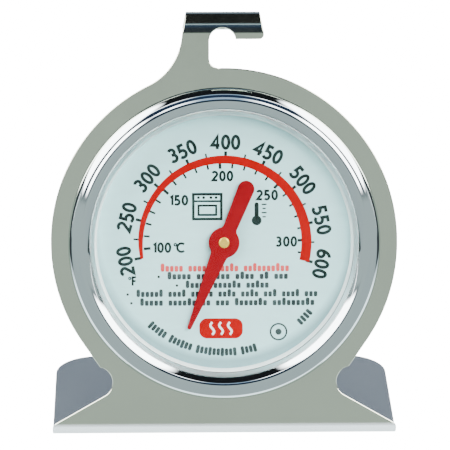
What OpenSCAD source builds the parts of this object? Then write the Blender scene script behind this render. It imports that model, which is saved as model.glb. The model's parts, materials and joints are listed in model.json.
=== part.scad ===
// Dial thermometer for an oven shelf: one bent sheet carries the case, stands on
// its folded foot or hangs from the curl at its top. A bimetal coil behind the
// dial turns the pointer. Lengths are in millimetres and angles in degrees.
//
// The plate, case and movement are drawn in the plate's own frame: x runs to the
// right, y runs up the plate and z points out of its front face, which is z = 0.

/* [Stand plate] */
// Thickness of the bent sheet
sheet_t = 0.6; // [0.5:0.1:0.8]
// Backward lean of the plate
lean = 16; // [12:1:20]
// Radius of the round face
disc_r = 33.4; // [33:0.1:34]
// How much taller than wide the round face is
disc_stretch = 0.4; // [0.1:0.1:0.6]
// Height of the dial centre along the plate
dial_v = 36.8; // [36.5:0.1:37.2]
// Angle of the straight flanks below the round face, from vertical
flank_angle = 34.6; // [33:0.2:36]

/* [Foot] */
// Width of the foot
foot_w = 66.6; // [65:0.2:68]
// Depth of the foot from front to back
foot_d = 38.6; // [36:0.2:42]
// Radius of the foot's rear corners
foot_corner_r = 8.3; // [6:0.1:10]
// Outside radius of the fold between plate and foot
fold_r = 2.4; // [2:0.1:2.8]
// Height along the plate where the fold begins
fold_v = 2.1; // [1.8:0.1:2.4]
// Radius of the round notch in each side of the neck
notch_r = 3; // [2.6:0.1:3.2]
// Distance of each notch centre from the middle
notch_u = 24.65; // [24.4:0.05:25]
// Height of the notch centres along the plate
notch_v = 9.9; // [9.6:0.1:10.2]
// Fall of the skirt's edge from each notch, from horizontal
skirt_angle = 29.5; // [28:0.5:31]
// Radius of the skirt's lower corners
skirt_corner_r = 1.6; // [1:0.1:1.7]

/* [Hook] */
// Outside radius of the curl at the top
curl_r = 4.1; // [3.8:0.1:4.4]
// How far the curl goes round
curl_sweep = 172; // [150:1:180]
// Height along the plate where the curl begins
hook_v = 77.2; // [76.8:0.1:78]
// Reach of the curl to the left of the middle
hook_left = 8; // [7.8:0.1:8.4]
// Reach of the curl to the right of the middle
hook_right = 7.7; // [7.4:0.1:8]
// Radius where the stem flows into the round face on the left
stem_blend_r = 11.8; // [10:0.1:13]
// Radius of the arched gap that drops over a shelf wire
arch_r = 2.57; // [2.4:0.01:2.7]
// Sideways place of the arch centre
arch_u = -0.28; // [-0.5:0.01:0]
// Height of the arch centre along the plate
arch_v = 75.75; // [75.5:0.05:75.9]
// Height of the tip's lower edge along the plate
tip_v = 76.1; // [75.9:0.1:76.4]

/* [Case] */
// Thickness of the drawn case and bezel sheet
case_t = 0.4; // [0.3:0.05:0.4]
// Outside radius of the case where it passes through the plate
case_r = 25.8; // [25.7:0.05:26]
// Inside radius of the deep pan behind the dial
pan_r = 21.4; // [21:0.1:22]
// Depth of the pan's floor behind the plate's front
pan_depth = 11; // [10.8:0.1:12]
// Radius of each vent hole in the pan
vent_r = 1.9; // [1.5:0.1:2]
// Number of vent holes
vent_count = 6; // [6:2:6]
// Radius of the ring that the vent holes lie on
vent_ring_r = 10.4; // [10:0.1:10.5]

/* [Bezel and glass] */
// Outside radius of the bezel
bezel_r = 30.1; // [29.9:0.1:30.4]
// Height of the bezel's flat band above the plate
bezel_h = 3.15; // [3:0.05:3.3]
// Inside radius of the bezel's lip on the glass
lip_r = 25; // [24.8:0.1:25.1]
// Height of the glass above the plate
glass_top = 0.85; // [0.8:0.05:0.9]
// Thickness of the glass
glass_t = 1.6; // [1.4:0.1:1.8]
// Number of tabs that hold the bezel to the plate
tab_count = 4; // [3:1:6]

/* [Dial and pointer] */
// Depth of the dial's face behind the plate's front
dial_depth = 3.2; // [3.1:0.05:3.3]
// Thickness of the dial and of the pointer
dial_t = 0.4; // [0.3:0.05:0.5]
// Length of the pointer from its centre to its tip
tip_len = 18.1; // [16:0.1:18.4]
// Length of the pointer's tail
tail_len = 12.8; // [10:0.1:13.4]
// Radius of the pointer's round middle
hub_r = 2.97; // [2.6:0.05:3.2]
// Pointer's place at room temperature, clockwise from straight up
pointer_rest = 202.3; // [190:0.1:215]

/* [Movement] */
// Radius of the pointer staff
staff_r = 0.6; // [0.5:0.05:0.7]
// Running gap between the staff and its bushes
staff_gap = 0.05; // [0.02:0.01:0.08]
// Turns in the bimetal coil
coil_turns = 6; // [5:1:6]
// Distance between neighbouring turns
coil_pitch = 1.75; // [1.6:0.05:1.8]
// Thickness of the bimetal strip
strip_t = 0.35; // [0.25:0.05:0.4]
// Width of the bimetal strip
strip_w = 2.9; // [2.4:0.1:3]
// Half the distance between the bridge's legs
bridge_half = 15; // [14.6:0.1:15.4]
// Width of the movement bridge
bridge_w = 7; // [6:0.5:8]

/* [Hidden] */
$fn = 96;

steel = [0.66, 0.69, 0.66];
bright_steel = [0.78, 0.8, 0.82];
dark_steel = [0.5, 0.52, 0.55];
brass = [0.84, 0.7, 0.36];
red = [0.8, 0.1, 0.12];

// The plate leans back from its fold, so the lower edge of the bezel reaches a
// little further forward than the foot. The part is centred on its whole depth.
bezel_edge = [bezel_r - 2.2, bezel_h - 0.05];
plate_step = fold_r * (1 - cos(lean)) - fold_v * sin(lean);
bezel_reach = bezel_edge.y * cos(lean) - plate_step - (dial_v - bezel_edge.x) * sin(lean);
foot_front = (bezel_reach - foot_d) / 2;
plate_y = foot_front + plate_step;
plate_z = fold_r * (1 + sin(lean)) - fold_v * cos(lean);
far = 60;

// Stack behind the glass, as heights above the plate's front
glass_z = glass_top - glass_t;
gasket_t = 0.2;
gasket_z = glass_z - gasket_t;
dial_z = -dial_depth;
ledge_z = dial_z - dial_t;
floor_z = -pan_depth;
inner_r = case_r - case_t;

// Movement heights, working forward from the pan's floor
bush_flange = 0.8;
washer_z = floor_z + bush_flange + 0.1;
washer_t = 0.2;
collet_z = washer_z + washer_t;
collet_h = 3.9;
collet_r = 1.7;
coil_z = collet_z + 0.3;
bridge_t = 0.6;
bridge_z = floor_z + 5.4;
bridge_top = bridge_z + bridge_t;
clip_z = bridge_top + 0.7;
hub_z = dial_z - 0.5;
pointer_z = dial_z + 1;
pointer_t = 0.3;
rivet_r = 0.9;
foot_len = 5;
foot_rivet_u = bridge_half + bridge_t + 2.4;
anchor_v = collet_r + strip_t + coil_turns * coil_pitch + 0.03;
anchor_rivet_v = anchor_v + 3.2;

function arc(c, r, from, to, n = 12) = [
    for (i = [0:n]) let (a = from + (to - from) * i / n) c + r * [cos(a), sin(a)]
];

module on_plate() {
    translate([0, plate_y, plate_z]) rotate([90 - lean, 0, 0]) children();
}

module on_dial() {
    on_plate() translate([0, dial_v, 0]) children();
}

module disc(r, z, h) {
    translate([0, 0, z]) cylinder(r = r, h = h);
}

module ring(outer, inner, z, h) {
    translate([0, 0, z]) difference() {
        cylinder(r = outer, h = h);
        translate([0, 0, -h]) cylinder(r = inner, h = 3 * h);
    }
}

// ---- stand plate ----

// Where the skirt's straight edge leaves the notch
skirt_start = [notch_u, notch_v] - notch_r * [sin(skirt_angle), cos(skirt_angle)];

// The skirt's rounded lower corner, from its straight edge down to the foot's side
function skirt_corner(to) = let (
    half_w = foot_w / 2,
    edge_v = skirt_start.y - (half_w - skirt_start.x) * tan(skirt_angle),
    drop = skirt_corner_r * tan(45 - skirt_angle / 2)
) arc([half_w - skirt_corner_r, edge_v - drop], skirt_corner_r, 90 - skirt_angle, to);

// One half of the neck and skirt, below the round face
module web_half() {
    flank = [disc_r * cos(flank_angle), dial_v - disc_r * sin(flank_angle)];
    inside_notch = flank - 7.2 * [sin(flank_angle), cos(flank_angle)];
    polygon(concat(
        [[0, flank.y], flank, inside_notch, skirt_start],
        skirt_corner(0),
        [[foot_w / 2, -fold_r], [0, -fold_r]]
    ));
}

// The stem of the hook, blended into the round face on both sides
module stem() {
    top = dial_v + disc_stretch + disc_r;
    blend = disc_r + stem_blend_r;
    centre_u = hook_left + stem_blend_r;
    centre_v = dial_v + disc_stretch + sqrt(blend * blend - centre_u * centre_u);
    start = -acos(centre_u / blend);
    end = asin((hook_v - centre_v) / stem_blend_r);
    right = arch_u - arch_r;
    fillet = 1.8;
    polygon(concat(
        arc([-centre_u, centre_v], stem_blend_r, start, end, 24),
        [[right, hook_v]],
        arc([right + fillet, top + fillet], fillet, 180, 270),
        [[right + fillet, top - 3], [-disc_r / 2, top - 6]]
    ));
}

// The short flat tip that hangs below the curl on the right
module tip() {
    corner = 0.9;
    polygon(concat(
        [[1, hook_v], [1, tip_v]],
        arc([hook_right - corner, tip_v + corner], corner, 270, 360, 8),
        [[hook_right, hook_v]]
    ));
}

module plate_outline() {
    difference() {
        union() {
            translate([0, dial_v]) circle(r = disc_r);
            translate([0, dial_v + disc_stretch]) circle(r = disc_r);
            translate([-disc_r, dial_v]) square([2 * disc_r, disc_stretch]);
            for (side = [0, 1]) mirror([side, 0]) web_half();
            stem();
            tip();
        }
        for (side = [-1, 1]) translate([side * notch_u, notch_v]) circle(r = notch_r);
        translate([arch_u, arch_v]) circle(r = arch_r);
    }
}

// Slots for the bezel's tabs
module tab_slots() {
    for (i = [0:tab_count - 1]) rotate([0, 0, (i + 0.5) * 360 / tab_count - 4])
        rotate_extrude(angle = 8) translate([bezel_r - case_t - 0.1, -2]) square([case_t + 0.2, 3]);
}

module flat_plate() {
    on_plate() difference() {
        translate([0, 0, -sheet_t]) linear_extrude(sheet_t) intersection() {
            plate_outline();
            translate([-far, fold_v]) square([2 * far, hook_v - fold_v]);
        }
        translate([0, dial_v, 0]) disc(case_r + 0.1, -2, 4);
        translate([0, dial_v, 0]) tab_slots();
    }
}

// Side view of the fold and the foot, as one strip of sheet
module fold_section() {
    centre = [foot_front + fold_r, fold_r];
    back = foot_front + foot_d + 1;
    polygon(concat(
        arc(centre, fold_r, 180 - lean, 270, 32),
        [[back, 0], [back, sheet_t]],
        arc(centre, fold_r - sheet_t, 270, 180 - lean, 32)
    ));
}

// The foot from above, with its rounded rear corners
module foot_plan() {
    back = foot_front + foot_d;
    half_w = foot_w / 2;
    bend = foot_corner_r;
    polygon(concat(
        [[-half_w, foot_front - 1], [half_w, foot_front - 1]],
        arc([half_w - bend, back - bend], bend, 0, 90, 16),
        arc([bend - half_w, back - bend], bend, 90, 180, 16)
    ));
}

// The fold's upper corners are cut to follow the skirt
module fold_and_foot() {
    corner = skirt_corner(8);
    last = corner[len(corner) - 1];
    past = foot_w / 2 + 1;
    difference() {
        intersection() {
            translate([-past, 0, 0]) rotate([90, 0, 90]) linear_extrude(2 * past) fold_section();
            translate([0, 0, -fold_r]) linear_extrude(4 * fold_r) foot_plan();
        }
        for (side = [0, 1]) mirror([side, 0, 0]) on_plate() translate([0, 0, -1.5 * fold_r])
            linear_extrude(2 * fold_r) polygon(concat(
                [[skirt_start.x, fold_v + 1], skirt_start], corner,
                [[past, last.y - 0.1], [past, fold_v + 1]]
            ));
    }
}

// The curl rolls back over the top, and its ends lean in a little
module curl() {
    lean_in = 0.7;
    top = hook_v + curl_r;
    on_plate() difference() {
        translate([0, hook_v, -curl_r]) rotate([0, -90, 0]) rotate_extrude(angle = curl_sweep)
            translate([curl_r - sheet_t, -hook_right]) square([sheet_t, hook_right + hook_left]);
        translate([arch_u, arch_v, -curl_r / 2]) cylinder(r = arch_r, h = curl_r);
        for (end = [[-hook_left, -1], [hook_right, 1]])
            translate([0, 0, -3 * curl_r]) linear_extrude(4 * curl_r) polygon([
                [end[0], hook_v], [end[0] - end[1] * lean_in, top + 0.1],
                [end[0] + end[1], top + 0.1], [end[0] + end[1], hook_v]
            ]);
    }
}

module stand_plate() {
    color(steel) union() {
        flat_plate();
        fold_and_foot();
        curl();
    }
}

// ---- case, bezel and glass ----

module rear_case() {
    color(bright_steel) on_dial() difference() {
        union() {
            ring(bezel_r - 0.9, inner_r, 0, case_t);
            ring(case_r, inner_r, ledge_z, -ledge_z);
            ring(case_r, pan_r, ledge_z - case_t, case_t);
            ring(pan_r + case_t, pan_r, floor_z, ledge_z - floor_z);
            disc(pan_r + case_t, floor_z - case_t, case_t);
        }
        for (i = [0:vent_count - 1]) rotate([0, 0, 30 + i * 360 / vent_count])
            translate([vent_ring_r, 0, 0]) disc(vent_r, floor_z - 2 * case_t, 3 * case_t);
        disc(1.4, floor_z - 2 * case_t, 3 * case_t);
        for (side = [-1, 1]) translate([side * foot_rivet_u, 0, 0])
            disc(rivet_r, floor_z - 2 * case_t, 3 * case_t);
        translate([0, anchor_rivet_v, 0]) disc(rivet_r, floor_z - 2 * case_t, 3 * case_t);
    }
}

// A point of the bezel's lip, which bends down ever more steeply from the flat
// band (at = 0) to the glass (at = 1). Depth is measured into the sheet.
function lip_point(at, depth) = let (
    run = 2.25,
    drop = bezel_h - glass_top - 0.12,
    bend = 1.7,
    tilt = atan(drop * bend / run * pow(at, bend - 1))
) [lip_r + run * (1 - at) + depth * sin(tilt), bezel_h - drop * pow(at, bend) - depth * cos(tilt)];

// Section of the bezel: round shoulder, short rise to the flat band, curved lip
module bezel_section() {
    shoulder_r = 2.2;
    shoulder = [bezel_r - shoulder_r, bezel_h - 0.26 - shoulder_r];
    rise = 75;
    polygon(concat(
        [[bezel_r, 0]],
        arc(shoulder, shoulder_r, 0, rise),
        [bezel_edge, [bezel_edge.x - 0.2, bezel_h]],
        [for (i = [0:10]) lip_point(i / 10, 0)],
        [[lip_r, glass_top], [lip_r + case_t, glass_top]],
        [for (i = [9:-1:0]) lip_point(i / 10, case_t)],
        [[bezel_edge.x - 0.25, bezel_h - case_t], [bezel_edge.x - 0.1, bezel_edge.y - case_t]],
        arc(shoulder, shoulder_r - case_t, rise, 0),
        [[bezel_r - case_t, 0]]
    ));
}

// A tab grows from the bezel's wall, goes through its slot and folds flat behind
// the plate. It is a little thinner than the wall that it grows from.
module bezel_tab() {
    tab_len = 3;
    outer = bezel_r - 0.05;
    inner = bezel_r - case_t + 0.05;
    rotate_extrude(angle = 7.6) polygon([
        [outer, 0.8], [inner, 0.8], [inner, -sheet_t],
        [bezel_r - tab_len, -sheet_t], [bezel_r - tab_len, -sheet_t - case_t],
        [outer, -sheet_t - case_t]
    ]);
}

module bezel_ring() {
    color(bright_steel) on_dial() union() {
        rotate_extrude() bezel_section();
        for (i = [0:tab_count - 1]) rotate([0, 0, (i + 0.5) * 360 / tab_count - 3.8]) bezel_tab();
    }
}

module lens() {
    color([0.85, 0.92, 0.95, 0.35]) on_dial() disc(inner_r - 0.05, glass_z, glass_t);
}

module lens_gasket() {
    color([0.25, 0.26, 0.27]) on_dial() ring(inner_r - 0.1, inner_r - 0.6, gasket_z, gasket_t);
}

module spacer_ring() {
    color([0.9, 0.92, 0.92]) on_dial()
        ring(inner_r - 0.1, inner_r - 0.65, dial_z, gasket_z - dial_z);
}

module dial_plate() {
    color([0.8, 0.86, 0.87]) on_dial() ring(inner_r - 0.1, 1.7, ledge_z, dial_t);
}

// ---- fixed parts of the movement ----

module movement_bridge() {
    strap = bridge_half + bridge_t;
    color(dark_steel) on_dial() difference() {
        union() {
            translate([-strap, -bridge_w / 2, bridge_z]) cube([2 * strap, bridge_w, bridge_t]);
            for (side = [0, 1]) mirror([side, 0, 0]) {
                translate([bridge_half, -bridge_w / 2, floor_z])
                    cube([bridge_t, bridge_w, bridge_top - floor_z]);
                translate([bridge_half, -bridge_w / 2, floor_z]) cube([foot_len, bridge_w, bridge_t]);
            }
        }
        disc(1.4, bridge_z - 1, 3);
        for (side = [-1, 1]) translate([side * foot_rivet_u, 0, 0]) disc(rivet_r, floor_z - 1, 3);
    }
}

// A rivet through a strip of the given thickness and the pan's floor
module rivet(grip) {
    disc(rivet_r, floor_z - case_t, grip + case_t);
    disc(rivet_r + 0.5, floor_z + grip, 0.4);
    disc(rivet_r + 0.5, floor_z - case_t - 0.3, 0.3);
}

module bridge_rivets() {
    color(bright_steel) on_dial()
        for (side = [-1, 1]) translate([side * foot_rivet_u, 0, 0]) rivet(bridge_t);
}

module front_bush() {
    color(brass) on_dial() difference() {
        union() {
            disc(1.4, bridge_z, bridge_t);
            disc(2.4, bridge_top, 0.6);
        }
        disc(staff_r + staff_gap, bridge_z - 1, 3);
    }
}

module rear_bush() {
    blind = 0.2;
    color(brass) on_dial() difference() {
        union() {
            disc(2.4, floor_z, bush_flange);
            disc(1.4, floor_z - case_t, case_t);
            disc(2, floor_z - case_t - 0.4, 0.4);
        }
        disc(staff_r + staff_gap, floor_z - case_t + blind, 3);
    }
}

// An angle riveted to the pan, which the coil's outer end is welded to
module coil_anchor() {
    wide = 3.6;
    color(dark_steel) on_dial() difference() {
        union() {
            translate([-wide / 2, anchor_v, floor_z]) cube([wide, bridge_t, coil_z + strip_w - floor_z]);
            translate([-wide / 2, anchor_v, floor_z]) cube([wide, foot_len, bridge_t]);
        }
        translate([0, anchor_rivet_v, 0]) disc(rivet_r, floor_z - 1, 3);
    }
}

module anchor_rivet() {
    color(bright_steel) on_dial() translate([0, anchor_rivet_v, 0]) rivet(bridge_t);
}

// Flat spiral strip, fixed to the collet inside and to the anchor outside
module bimetal_coil() {
    steps = 36 * coil_turns;
    inner = [for (i = [0:steps]) let (a = 90 + i * 10, r = collet_r + i * coil_pitch / 36)
        r * [cos(a), sin(a)]];
    outer = [for (i = [steps:-1:0]) let (a = 90 + i * 10, r = collet_r + strip_t + i * coil_pitch / 36)
        r * [cos(a), sin(a)]];
    color([0.6, 0.5, 0.38]) on_dial() translate([0, 0, coil_z])
        linear_extrude(strip_w) polygon(concat(inner, outer));
}

// ---- parts that turn with the pointer ----

module pointer_staff() {
    bottom = floor_z - 0.1;
    color(bright_steel) on_dial() difference() {
        disc(staff_r, bottom, pointer_z - 0.1 - bottom);
        translate([0, 0, collet_z + collet_h - 0.35]) rotate([0, 90, 0])
            cylinder(r = 0.2, h = 4, center = true);
    }
}

// The long tapered tip, drawn pointing straight up
module blade_tip() {
    root = 1.85;
    end = 0.4;
    polygon([
        [-root, 0], [-end, tip_len - 0.3], [-end / 2, tip_len],
        [end / 2, tip_len], [end, tip_len - 0.3], [root, 0]
    ]);
}

// The blunt tail, which widens to its round end
module blade_tail() {
    end = 1.6;
    polygon(concat([[1.25, 0], [-1.25, 0]], arc([0, end - tail_len], end, 180, 360, 16)));
}

module pointer_blade() {
    color(red) on_dial() difference() {
        rotate([0, 0, -pointer_rest]) union() {
            disc(hub_r, pointer_z, pointer_t);
            translate([0, 0, pointer_z]) linear_extrude(pointer_t) blade_tip();
            translate([0, 0, pointer_z]) linear_extrude(pointer_t) blade_tail();
        }
        disc(0.8, pointer_z - 1, 2);
    }
}

// Brass hub riveted through the pointer and pressed on the staff
module pointer_hub() {
    top = pointer_z + pointer_t;
    color(brass) on_dial() difference() {
        union() {
            disc(1.2, hub_z, pointer_z - hub_z);
            disc(0.8, pointer_z, pointer_t);
            disc(1.03, top, 0.2);
            disc(0.85, top + 0.2, 0.15);
        }
        disc(staff_r, hub_z - 1, pointer_z - 0.1 - hub_z + 1);
    }
}

module coil_collet() {
    color(brass) on_dial() difference() {
        disc(collet_r, collet_z, collet_h);
        disc(staff_r, collet_z - 1, collet_h + 2);
        translate([0, 0, collet_z + collet_h - 0.35]) rotate([0, 90, 0])
            cylinder(r = 0.2, h = 4, center = true);
    }
}

module collet_pin() {
    color(dark_steel) on_dial() translate([0, 0, collet_z + collet_h - 0.35]) rotate([0, 90, 0])
        cylinder(r = 0.2, h = 2 * collet_r - 0.1, center = true);
}

module staff_clip() {
    color(dark_steel) on_dial() ring(1.5, staff_r, clip_z, 0.3);
}

module thrust_washer() {
    color(bright_steel) on_dial() ring(1.5, staff_r, washer_z, washer_t);
}

stand_plate();
rear_case();
bezel_ring();
lens();
lens_gasket();
spacer_ring();
dial_plate();
movement_bridge();
bridge_rivets();
front_bush();
rear_bush();
coil_anchor();
anchor_rivet();
bimetal_coil();
pointer_staff();
pointer_blade();
pointer_hub();
coil_collet();
collet_pin();
staff_clip();
thrust_washer();
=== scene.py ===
"""Oven thermometer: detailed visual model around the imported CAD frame.

Pieces are drawn in the plate's own frame in millimetres: x runs to the right, y runs
up the plate from the dial centre, and z points out of the plate's front face.
"""
import json
from math import acos, asin, atan2, cos, degrees, hypot, pi, radians, sin, sqrt, tan

import bmesh
import bpy
import numpy as np
from mathutils import Matrix, Vector
from mathutils.geometry import delaunay_2d_cdt


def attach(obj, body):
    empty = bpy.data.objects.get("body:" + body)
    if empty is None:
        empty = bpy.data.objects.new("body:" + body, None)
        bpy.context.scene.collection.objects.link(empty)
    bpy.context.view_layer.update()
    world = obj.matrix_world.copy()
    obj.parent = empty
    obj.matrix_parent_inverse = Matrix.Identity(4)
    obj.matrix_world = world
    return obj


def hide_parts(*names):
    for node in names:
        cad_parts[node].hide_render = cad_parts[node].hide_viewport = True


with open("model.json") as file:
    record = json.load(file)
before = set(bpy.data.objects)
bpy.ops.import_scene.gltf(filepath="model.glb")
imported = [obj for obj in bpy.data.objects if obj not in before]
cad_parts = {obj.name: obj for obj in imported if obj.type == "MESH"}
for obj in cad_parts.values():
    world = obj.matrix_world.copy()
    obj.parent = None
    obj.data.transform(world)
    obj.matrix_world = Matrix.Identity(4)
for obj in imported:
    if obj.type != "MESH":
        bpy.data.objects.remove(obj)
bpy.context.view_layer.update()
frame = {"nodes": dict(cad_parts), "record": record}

MM = 0.001
SHEET = 0.6          # thickness of the stand's sheet
LEAN = 16            # backward lean of the plate, degrees
DIAL_V = 36.8        # dial centre above the plate's origin
DISC_R = 33.4
STRETCH = 0.4        # the round face is this much taller than wide
FLANK = 34.6         # angle of the flanks below the round face
FOOT_HALF = 33.3
FOOT_FLAT = 36.2     # flat length of the foot behind its fold
FOOT_CORNER = 8.3
FOLD_R, FOLD_V = 2.4, 2.1
CURL_R, HOOK_V, CURL_SWEEP = 4.1, 77.2, 172
HOOK_LEFT, HOOK_RIGHT, CURL_LEAN = 8.0, 7.7, 0.7
ARCH = (-0.28, 75.75, 2.57)
NOTCH = (24.65, 9.9, 3.0)
SKIRT_ANGLE, SKIRT_CORNER = 29.5, 1.6
STEM_BLEND = 11.8
TIP_V = 76.1

CASE_T, CASE_R, PAN_R, LEDGE_Z, FLOOR_Z = 0.4, 25.8, 21.4, -3.6, -11.0
VENTS, VENT_R, VENT_RING = 6, 1.9, 10.4
BEZEL_R, LIP_R, GLASS_TOP, GLASS_T = 30.1, 25.0, 0.85, 1.6
LENS_R = 25.35
SHOULDER_R, SHOULDER_Z = 2.2, 0.69
TABS, TAB_HALF, SLOT_HALF = (45, 135, 225, 315), 3.8, 4   # bezel's tabs and their slots, in degrees
STACK_R = CASE_R - CASE_T - 0.1   # outside radius of dial, spacer and gasket
GASKET_T, DIAL_T, DIAL_Z = 0.2, 0.4, -3.2
POINTER_Z, POINTER_T, POINTER_REST = -2.2, 0.3, 202.3
TIP_LEN, TAIL_LEN, HUB_R = 18.1, 12.8, 2.97
RIVET_U, ANCHOR_V, RIVET_HOLE = 18.0, 15.78, 0.9
BUSH_HOLE = 1.4

# Scale of the dial: clockwise degrees from straight up
F_LOW, F_HIGH, F_AT_LOW, F_STEP = 200, 600, -100.6, 0.5087
C_LOW, C_HIGH, C_AT_LOW, C_STEP = 100, 310, -94.5, 0.916
INK, PRINT_FOOT = 0.02, 0.01   # how far the print stands above the dial, and reaches into it

joint = frame["record"]["behaviour"]["joints"][0]
centre = Vector(joint["pos_m"])
out = -Vector(joint["axis"]).normalized()
right = Vector((1, 0, 0))
up = out.cross(right)
PLATE = Matrix((right, up, out)).transposed().to_4x4()
PLATE.translation = centre


# ---- plane geometry ----

def arc(x, y, r, start, end, n):
    """Points of an arc, from start to end in degrees."""
    return [(x + r * cos(radians(start + (end - start) * i / n)),
             y + r * sin(radians(start + (end - start) * i / n))) for i in range(n + 1)]


def clock(r, degrees_cw):
    """A point of the dial at a radius and a clockwise angle from straight up."""
    return r * sin(radians(degrees_cw)), r * cos(radians(degrees_cw))


def circle(x, y, r, n, clockwise=False):
    points = arc(x, y, r, 0, 360, n)[:-1]
    return points[::-1] if clockwise else points


def swept(middle, first, turn, steps):
    """Points round a middle, from the offset first through the angle turn."""
    points = []
    for k in range(steps + 1):
        v = first.copy()
        v.rotate(Matrix.Rotation(-turn * k / steps, 2))
        points.append(tuple(middle + v))
    return points


def rounded(corners, steps=5):
    """A closed outline whose corners (x, y, radius) are rounded off."""
    points = []
    for i, (x, y, r) in enumerate(corners):
        p = Vector((x, y))
        a = Vector(corners[i - 1][:2]) - p
        b = Vector(corners[(i + 1) % len(corners)][:2]) - p
        if r <= 0:
            points.append((x, y))
            continue
        half = a.angle(b) / 2
        reach = min(r / tan(half), 0.49 * a.length, 0.49 * b.length)
        r = reach * tan(half)
        middle = p + (a.normalized() + b.normalized()).normalized() * r / sin(half)
        first, last = p + a.normalized() * reach - middle, p + b.normalized() * reach - middle
        points += swept(middle, first, first.angle_signed(last), steps)
    return points


def inside(loops, points):
    """Which of the points are inside an odd number of the loops."""
    x, y = points[:, 0], points[:, 1]
    odd = np.zeros(len(points), bool)
    for loop in loops:
        a = np.array(loop)
        b = np.roll(a, -1, 0)
        for (ax, ay), (bx, by) in zip(a, b):
            if ay == by:
                continue
            odd ^= ((ay > y) != (by > y)) & (x < (bx - ax) * (y - ay) / (by - ay) + ax)
    return odd


def side_normals(loop):
    """For each point of a loop with its material on the left: the outward direction, and
    how much further a mitred corner reaches."""
    p = np.array(loop)
    ahead = np.roll(p, -1, 0) - p
    ahead /= np.linalg.norm(ahead, axis=1)[:, None]
    n = np.stack([ahead[:, 1], -ahead[:, 0]], 1)
    both = n + np.roll(n, 1, 0)
    length = np.linalg.norm(both, axis=1)
    return both / length[:, None], np.minimum(2 / length, 1.6)


def rim_points(loop, inset, rows):
    """Points (x, y, outward x, outward y, reach) of a loop, with one more wherever the
    loop, moved in by inset, crosses one of the rows of constant y."""
    normals, reach = side_normals(loop)
    here = [(x, y, nx, ny, far) for (x, y), (nx, ny), far in zip(loop, normals, reach)]
    height = [y - ny * inset * far for x, y, nx, ny, far in here]
    points = []
    for i, point in enumerate(here):
        j = (i + 1) % len(here)
        points.append(point)
        low, high = height[i], height[j]
        crossed = [s for s in rows
                   if (low - s) * (high - s) < 0 and min(abs(low - s), abs(high - s)) > 1e-4]
        for s in sorted(crossed, reverse=high < low):
            t = (s - low) / (high - low)
            points.append(tuple(p + (q - p) * t for p, q in zip(point, here[j])))
    return points


# ---- mesh building ----

def make_piece(name, verts, faces, material, slot, body="root", normals=None, sharp=35):
    """A piece from points in plate millimetres, which rides on a body."""
    mesh = bpy.data.meshes.new(name)
    mesh.from_pydata([PLATE @ Vector([c * MM for c in v]) for v in verts], [], faces)
    if normals is None:
        bm = bmesh.new()
        bm.from_mesh(mesh)
        bmesh.ops.remove_doubles(bm, verts=bm.verts, dist=1e-7)
        bmesh.ops.recalc_face_normals(bm, faces=bm.faces)
        bm.to_mesh(mesh)
        bm.free()
    for polygon in mesh.polygons:
        polygon.use_smooth = True
    if normals is None:
        mesh.set_sharp_from_angle(angle=radians(sharp))
    else:
        turn = PLATE.to_3x3()
        mesh.normals_split_custom_set_from_vertices([turn @ Vector(n) for n in normals])
    obj = bpy.data.objects.new(name, mesh)
    bpy.context.scene.collection.objects.link(obj)
    obj.data.materials.append(material)
    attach(obj, body)
    return obj


def lathe(section, n=192):
    """Turns a closed section of (radius, z) points about the dial axis."""
    verts, faces, rings = [], [], []
    for r, z in section:
        if r < 1e-6:
            rings.append([len(verts)] * n)
            verts.append((0, 0, z))
        else:
            rings.append(list(range(len(verts), len(verts) + n)))
            verts += [(r * cos(2 * pi * i / n), r * sin(2 * pi * i / n), z) for i in range(n)]
    for k, low in enumerate(rings):
        high = rings[(k + 1) % len(rings)]
        for i in range(n):
            j = (i + 1) % n
            face = [low[i], low[j], high[j], high[i]]
            face = [v for m, v in enumerate(face) if v != face[m - 1]]
            if len(set(face)) > 2:
                faces.append(face)
    return verts, faces


def turned(name, section, material, slot, body="root", n=192, sharp=35):
    return make_piece(name, *lathe(section, n), material, slot, body, sharp=sharp)


def moved(solid, x, y):
    verts, faces = solid
    return [(a + x, b + y, c) for a, b, c in verts], faces


def joined(solids):
    verts, faces = [], []
    for v, f in solids:
        faces += [[i + len(verts) for i in face] for face in f]
        verts += v
    return verts, faces


def rim_profile(thickness, rim, steps=4):
    """Section of a rounded sheet edge: (inset, depth, tilt of the normal in degrees)."""
    front = [(rim * (1 - sin(radians(a))), rim * (1 - cos(radians(a))), a)
             for a in np.linspace(0, 90, steps + 1)]
    return front + [(i, thickness - d, 180 - a) for i, d, a in reversed(front)]


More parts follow.
